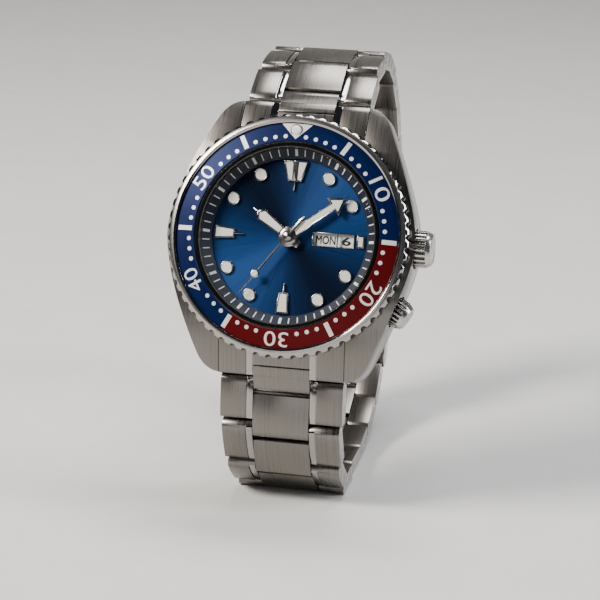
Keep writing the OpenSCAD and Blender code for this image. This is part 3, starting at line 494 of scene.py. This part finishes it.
def lathe(outline, steps, second=(0, 0)):
    drawing = bmesh.new()
    loops = []
    for step in range(steps):
        x, y = at_clock(360 * step / steps, 0, 1)
        loops.append([drawing.verts.new((x * r, y * r, z)) for r, z in outline])
    for step in range(steps):
        here, there = loops[step], loops[(step + 1) % steps]
        angle = 360 * (step + 0.5) / steps
        for k in range(len(outline)):
            m = (k + 1) % len(outline)
            face = drawing.faces.new((here[k], here[m], there[m], there[k]))
            face.smooth = True
            face.material_index = 1 if second[0] <= angle <= second[1] else 0
    bmesh.ops.recalc_face_normals(drawing, faces=drawing.faces)
    return drawing


per_minute = 6
red_stretch = (15 * per_minute, 35 * per_minute)
insert = piece("insert_two_colour", lathe(insert_outline(), 360, red_stretch), "bezel",
               "insert_aluminium", blue_anodised, red_anodised)
insert.data.set_sharp_from_angle(angle=math.radians(30))
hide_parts("bezel_insert")

# %% [markdown]
# ## Print on a curved place
# Marks are screen printed and stand up by a few hundredths of a millimetre. A mark is drawn
# as a flat outline, sideways and outward at a clock angle. Each corner is then dropped onto
# the surface below it and lifted by the thickness of the ink, with a small wall around it.

# %% Draw one printed patch
ink = 0.03
rooted = 0.02


def patch(drawing, outline, clock, height):
    tops = []
    feet = []
    for side, out in outline:
        x, y = at_clock(clock, side, out)
        z = height(math.hypot(x, y))
        tops.append(drawing.verts.new((x, y, z + ink)))
        feet.append(drawing.verts.new((x, y, z - rooted)))
    drawing.faces.new(tops)
    for k in range(len(tops)):
        m = (k + 1) % len(tops)
        drawing.faces.new((feet[k], feet[m], tops[m], tops[k]))


def block(half, near, far):
    return [(-half, near), (half, near), (half, far), (-half, far)]


def dot(radius, out):
    corners = 20
    turns = [2 * math.pi * k / corners for k in range(corners)]
    return [(radius * math.cos(t), out + radius * math.sin(t)) for t in turns]


# %% [markdown]
# ## Words and numbers
# Numbers come from Blender's own typeface. A text object is filled, turned into a mesh and
# thrown away. Its points are then scaled to the real height and width of the print and laid
# down like any other patch. To thicken the strokes to the weight of the real figures, each
# point of the outline moves out along the mean direction of the two walls that meet there.

# %% Lay figures on a surface
def figures(drawing, text, high, wide, clock, middle, height, along=False, bold=0.03):
    curve = bpy.data.curves.new("figures", "FONT")
    curve.body = text
    curve.extrude = 0.1
    curve.resolution_u = 4
    carrier = bpy.data.objects.new("figures", curve)
    bpy.context.scene.collection.objects.link(carrier)
    flat = bpy.data.meshes.new_from_object(carrier.evaluated_get(
        bpy.context.evaluated_depsgraph_get()))
    bpy.data.objects.remove(carrier)
    bpy.data.curves.remove(curve)
    push = {}
    for face in flat.polygons:
        for k in face.vertices:
            spot = flat.vertices[k].co.to_2d().to_tuple(4)
            push[spot] = push.get(spot, Vector((0, 0))) + face.normal.to_2d()
    for v in flat.vertices:
        way = push[v.co.to_2d().to_tuple(4)].normalized()
        v.co += way.to_3d() * bold
    xs = [v.co.x for v in flat.vertices]
    ys = [v.co.y for v in flat.vertices]
    left, right, low, top = min(xs), max(xs), min(ys), max(ys)
    corners = []
    for v in flat.vertices:
        across = (v.co.x - (right + left) / 2) * (wide / (right - left))
        up = (v.co.y - (top + low) / 2) * (high / (top - low))
        side, out = (-up, middle + across) if along else (across, middle + up)
        x, y = at_clock(clock, side, out)
        z = height(math.hypot(x, y)) + (ink if v.co.z > 0 else -rooted)
        corners.append(drawing.verts.new((x, y, z)))
    for face in flat.polygons:
        drawing.faces.new([corners[k] for k in face.vertices])
    bpy.data.meshes.remove(flat)


# %% [markdown]
# ## Marks on the insert
# A diver reads elapsed minutes from the insert. It has a triangle at zero, whose outer side
# bows with the rim, a number every ten minutes and a bar at each five between them. The
# minutes that are left get a dot, except right beside a number. All of it is printed in
# silver-white, and it turns with the bezel.

# %% Bezel print
silver_ink = painted("silver_white_printing_ink", ("#cfd0cf", "#e4e5e3"), 0.4, 0.3, 0.004,
                     metallic=0.25)
bezel_print = bmesh.new()
print_in = insert_in + 0.4
print_out = insert_out - 0.4
zero_half = 2.65
bow_half = 1.3
bar_half = 0.39
dot_r = 0.36
dots_at = 16.8
numbers_at = 17.58
number_high = 2.45
number_wide = 4.1
triangle = [(-zero_half, print_out + 0.12), (0, print_in - 0.05), (zero_half, print_out + 0.12),
            (bow_half, print_out + 0.2), (0, print_out + 0.24), (-bow_half, print_out + 0.2)]
patch(bezel_print, triangle, 0, on_insert)
for tens in range(1, 6):
    figures(bezel_print, str(10 * tens), number_high, number_wide, 10 * tens * per_minute,
            numbers_at, on_insert, bold=0.0)
for five in range(5, 60, 10):
    patch(bezel_print, block(bar_half, print_in + 0.02, print_out), five * per_minute, on_insert)
for minute in range(60):
    near_number = min(minute % 10, 10 - minute % 10) < 2 and 4 < minute < 56
    if minute % 5 and not near_number:
        patch(bezel_print, dot(dot_r, dots_at), minute * per_minute, on_insert)
bmesh.ops.recalc_face_normals(bezel_print, faces=bezel_print.faces)
piece("bezel_marks", bezel_print, "bezel", "lume", silver_ink)

# %% [markdown]
# The pearl at zero is a drop of lume in a thin dark steel cup. The cup is a narrow ring that
# stands just proud of the insert.

# %% Cup around the pearl
pearl_points = [to_head @ v.co / mm for v in nodes["bezel_pearl"].data.vertices]
pearl_out = (min(p.y for p in pearl_points) + max(p.y for p in pearl_points)) / 2
pearl_r = max(p.x for p in pearl_points)
cup_foot = 1.2
cup_top = 1.78
cup_in = pearl_r - 0.02
cup_out = pearl_r + 0.2
cup_edge = 0.08
cup_steel = polished_steel("blued_steel", "#4c525c", 0.2, 0.3)
cup = lathe([(cup_in, cup_foot), (cup_out, cup_foot), (cup_out, cup_top - cup_edge),
             (cup_out - cup_edge, cup_top), (cup_in, cup_top)], 64)
bmesh.ops.translate(cup, vec=(0, pearl_out, 0), verts=cup.verts)
piece("pearl_cup", cup, "bezel", "polished_steel", cup_steel)
print("pearl centre at", round(pearl_out, 2), "mm, radius", round(pearl_r, 2))

# %% [markdown]
# The second hand carries its lume in a small round cup near its tip. The cup is part of the
# solid, and the drop of paint on it is a low dome drawn here.

# %% Drop of lume on the second hand
hand_points = [to_head @ v.co / mm for v in nodes["second_hand"].data.vertices]
tip = max(hand_points, key=lambda p: p.x * p.x + p.y * p.y)
hand_way = Vector((tip.x, tip.y)).normalized()
cup_at = 8.45
drop_r = 0.56
dome_r = 0.4
drop_axis = 0.001
hand_top = max(p.z for p in hand_points if abs(math.hypot(p.x, p.y) - cup_at) < 1)
drop = lathe([(drop_axis, hand_top - 0.02), (drop_r, hand_top - 0.02), (drop_r, hand_top + 0.02),
              (dome_r, hand_top + 0.06), (drop_axis, hand_top + 0.08)], 32)
bmesh.ops.translate(drop, vec=(hand_way.x * cup_at, hand_way.y * cup_at, 0), verts=drop.verts)
piece("second_hand_lume", drop, "second", "lume", lume)

# %% [markdown]
# ## The minute ring
# The sloping ring under the crystal carries a line for every minute and a wide block at
# every five, in white on navy.

# %% Minute ring print
minute_print = bmesh.new()
mark_in = 13.8
mark_out = 14.82
block_half = 0.23
line_half = 0.085
for minute in range(60):
    half = block_half if minute % 5 == 0 else line_half
    patch(minute_print, block(half, mark_in, mark_out), minute * per_minute, on_minute_ring)
bmesh.ops.recalc_face_normals(minute_print, faces=minute_print.faces)
piece("minute_marks", minute_print, "case", "lume", mark_white)

# %% [markdown]
# ## The sunburst dial
# The dial is a brass blank brushed outward from its centre on a turning brush, then covered
# in blue galvanic colour and clear lacquer. Each spoke of scratches throws light to the side,
# so the dial shows bright beams that meet in the middle. The Tangent node can give scratches
# that direction, but only around an object's own Z. The blank is therefore copied into a
# piece whose own Z looks out of the dial. Its faces are left flat, so that its edges don't
# bend the light on the top. The beams are also painted into the base colour as a painted
# highlight. It is lighter along one line through the centre, 52 degrees clockwise from 12
# and on the opposite side, and darker across it, with a little of the brush noise mixed in.

# %% Dial
def blank_from(node):
    drawing = bmesh.new()
    drawing.from_mesh(nodes[node].data)
    bmesh.ops.transform(drawing, matrix=to_head, verts=drawing.verts)
    bmesh.ops.scale(drawing, vec=(1 / mm, 1 / mm, 1 / mm), verts=drawing.verts)
    bmesh.ops.remove_doubles(drawing, verts=drawing.verts, dist=0.001)
    for face in drawing.faces:
        face.smooth = False
    return drawing


dial_blue, dial_shader = surface("blue_sunburst_lacquer", metallic=0.35, anisotropic=0.6,
                                 specular_ior_level=0.3, coat_weight=0.1,
                                 coat_roughness=0.06)
spokes, way = around_dial(dial_blue, 28, 14, in_head=True)
brush = add(dial_blue, "ShaderNodeTexNoise", {"Vector": spokes, "Scale": 1, "Detail": 3})
# Painted highlight: a bright beam painted into the dial's base colour along one line through the
# centre.
painted_beam_clock = math.radians(52)
painted_beam_narrow = 1.7
painted_beam_way = Vector((math.sin(painted_beam_clock), math.cos(painted_beam_clock), 0))
along = add(dial_blue, "ShaderNodeVectorMath", {0: way, 1: painted_beam_way}, operation="DOT_PRODUCT")
even = add(dial_blue, "ShaderNodeMath", {0: along.outputs["Value"]}, operation="ABSOLUTE")
painted_beam = add(dial_blue, "ShaderNodeMath", {0: even.outputs[0], 1: painted_beam_narrow},
           operation="POWER")
wander = add(dial_blue, "ShaderNodeMath", {0: brush.outputs[0], 1: 0.2, 2: -0.1},
             operation="MULTIPLY_ADD")
painted_beam_and_brush = add(dial_blue, "ShaderNodeMath", {0: painted_beam.outputs[0], 1: wander.outputs[0]},
           operation="ADD", use_clamp=True)
dial_tint_with_painted_beam = add(dial_blue, "ShaderNodeMix", {"Factor": painted_beam_and_brush.outputs[0], 6: paint("#0c172b"),
                                             7: paint("#17447f")}, data_type="RGBA")
dial_rough = add(dial_blue, "ShaderNodeMapRange", {"Value": brush.outputs[0], "To Min": 0.24,
                                                   "To Max": 0.36})
dial_relief = add(dial_blue, "ShaderNodeBump", {"Height": brush.outputs[0], "Strength": 0.12,
                                                "Distance": 0.01 * mm})
turning = add(dial_blue, "ShaderNodeTangent", direction_type="RADIAL", axis="Z")
link(dial_blue, dial_tint_with_painted_beam.outputs[2], dial_shader.inputs["Base Color"])
link(dial_blue, dial_rough.outputs[0], dial_shader.inputs["Roughness"])
link(dial_blue, dial_relief.outputs[0], dial_shader.inputs["Normal"])
link(dial_blue, turning.outputs[0], dial_shader.inputs["Tangent"])
dial = piece("sunburst_dial", blank_from("dial"), "case", "dial_paint", dial_blue)
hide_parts("dial")

# %% [markdown]
# ## Day and date print
# Two white discs turn under the window. The inner one names the seven days twice over, the
# outer one counts to 31. Every word is printed here, not just the two in the window, so the
# window stays right when a disc is turned.

# %% Day and date discs
disc_top = max(z for r, z in ring_points("day_disc"))
window_clock = 90
letters_high = 1.45
word_wide = 3.4
words_at = 6.18
dates_at = 9.75
date_shown = 6
day_print = bmesh.new()
days = 2 * ("MON", "TUE", "WED", "THU", "FRI", "SAT", "SUN")
for place, day in enumerate(days):
    turn = window_clock - place * 360 / len(days)
    figures(day_print, day, letters_high, word_wide, turn, words_at, lambda r: disc_top,
            along=True, bold=0.03)
bmesh.ops.recalc_face_normals(day_print, faces=day_print.faces)
piece("day_words", day_print, "day", "ring_paint", ink_black)

date_print = bmesh.new()
dates = range(1, 32)
for number in dates:
    wide = 1.6 if number < 10 else 2.3
    turn = window_clock - (number - date_shown) * 360 / len(dates)
    figures(date_print, str(number), letters_high, wide, turn, dates_at, lambda r: disc_top,
            along=True, bold=0.028)
bmesh.ops.recalc_face_normals(date_print, faces=date_print.faces)
piece("date_numbers", date_print, "date", "ring_paint", ink_black)

# %% [markdown]
# ## Edges that catch light
# A sharp corner has no width, so it can't shine. Real machined corners are broken by a tenth
# or two of a millimetre, and by less on the small parts, and every one of them shows as a
# thin bright line. A Weld modifier joins the points that lie on each other, and a Bevel
# modifier breaks the corners, both without touching the solid itself. Corners flatter than
# 32 degrees belong to a curve and stay as they are.

# %% Break the corners
corner = math.radians(32)
together = 0.002 * mm


def soften(name, width, segments=2, bevel_slot=-1):
    solid = nodes[name]
    weld = solid.modifiers.new("weld", "WELD")
    weld.merge_threshold = together
    bevel = solid.modifiers.new("edge", "BEVEL")
    bevel.width = width * mm
    bevel.segments = segments
    bevel.limit_method = "ANGLE"
    bevel.angle_limit = corner
    bevel.material = bevel_slot


def smooth(name):
    mesh = nodes[name].data
    mesh.shade_smooth()
    mesh.set_sharp_from_angle(angle=corner)


soften("mid_case", 0.22, 3, bevel_slot=2)
for name in strap:
    soften(name, 0.18, 2, bevel_slot=1)
soften("clasp_cover", 0.1, 2)
soften("bezel_ring", 0.06, 2)
for name in ("hour_markers", "hour_hand", "minute_hand", "second_hand", "window_frame"):
    soften(name, 0.06, 1)
for name in ("crown_main", "crown_second"):
    soften(name, 0.05, 1)
for name in nodes:
    smooth(name)

# %% [markdown]
# ## The room
# The watch stands on a plain pale floor that bends up into a wall far behind it, under soft
# lamps. Polished steel shows the room more than itself, so the lamps are placed where the
# case and the links can mirror them: a square one at the upper left for the main shine, a
# strip on the right to edge the flank and the crowns, a low one in front for the lower links
# and one overhead for the rows at the top.

# %% Floor, lamps and world
floor_paint = painted("pale_floor_paint", ("#c9c8c5", "#d3d2cf"), 0.7, 12, 0.05)
floor_drawing = bmesh.new()
half = 1.2
bend_at = 0.5
bend_r = 0.3
bend_steps = 12
wall_top = 1.4
sweep = [(-half, 0.0), (bend_at, 0.0)]
for k in range(1, bend_steps + 1):
    t = math.radians(90 / bend_steps * k)
    sweep.append((bend_at + bend_r * math.sin(t), bend_r - bend_r * math.cos(t)))
sweep.append((bend_at + bend_r, wall_top))
edges = []
for y, z in sweep:
    edges.append([floor_drawing.verts.new((x, y, z)) for x in (-half, half)])
for a, b in zip(edges, edges[1:]):
    floor_drawing.faces.new((a[0], a[1], b[1], b[0])).smooth = True
floor_mesh = bpy.data.meshes.new("floor_sweep")
floor_drawing.to_mesh(floor_mesh)
floor_mesh.materials.append(floor_paint)
floor = bpy.data.objects.new("floor_sweep", floor_mesh)
bpy.context.scene.collection.objects.link(floor)


def lamp(name, spot, size, watts, colour):
    light = bpy.data.lights.new(name, "AREA")
    light.shape = "RECTANGLE"
    light.size, light.size_y = size
    light.energy = watts
    light.color = paint(colour)[:3]
    thing = bpy.data.objects.new(name, light)
    bpy.context.scene.collection.objects.link(thing)
    thing.location = spot
    thing.rotation_euler = (dial_centre - Vector(spot)).to_track_quat("-Z", "Y").to_euler()


lamp("key_lamp", (-0.40, -0.24, 0.45), (0.20, 0.20), 7.0, "#fffaf2")
lamp("edge_lamp", (0.42, 0.02, 0.22), (0.08, 0.40), 2.2, "#f4f8ff")
lamp("front_lamp", (0.05, -0.55, 0.10), (0.40, 0.12), 0.3, "#ffffff")
lamp("top_lamp", (0.05, 0.16, 0.52), (0.34, 0.16), 2.4, "#ffffff")
world = bpy.data.worlds.new("studio")
world.use_nodes = True
sky = world.node_tree.nodes["Background"]
sky.inputs["Color"].default_value = paint("#474d57")
sky.inputs["Strength"].default_value = 0.45
bpy.context.scene.world = world

# %% [markdown]
# ## The camera
# A long lens from a short distance away keeps the watch free of stretched corners. The camera
# stands a little to the 3 o'clock side and above the dial's height. It looks slightly past
# the dial toward the strap below, and is rolled by half a degree.

# %% Camera
def direction(side_degrees, down_degrees):
    side = math.radians(side_degrees)
    down = math.radians(down_degrees)
    return Vector((-math.sin(side) * math.cos(down), math.cos(side) * math.cos(down),
                   -math.sin(down)))


lens = bpy.data.cameras.new("portrait_lens")
lens.lens = 134
lens.sensor_width = 36
lens.clip_start = 0.01
camera = bpy.data.objects.new("camera", lens)
bpy.context.scene.collection.objects.link(camera)
far_away = 376.6
toward_dial = direction(13.24, 16.83)
camera.location = dial_centre - toward_dial * far_away * mm
aim = direction(12.91, 18.46).to_track_quat("-Z", "Y")
roll = Quaternion((0, 0, 1), math.radians(0.5))
camera.rotation_euler = (aim @ roll).to_euler()
bpy.context.scene.camera = camera
print("camera at", [round(v, 4) for v in camera.location])
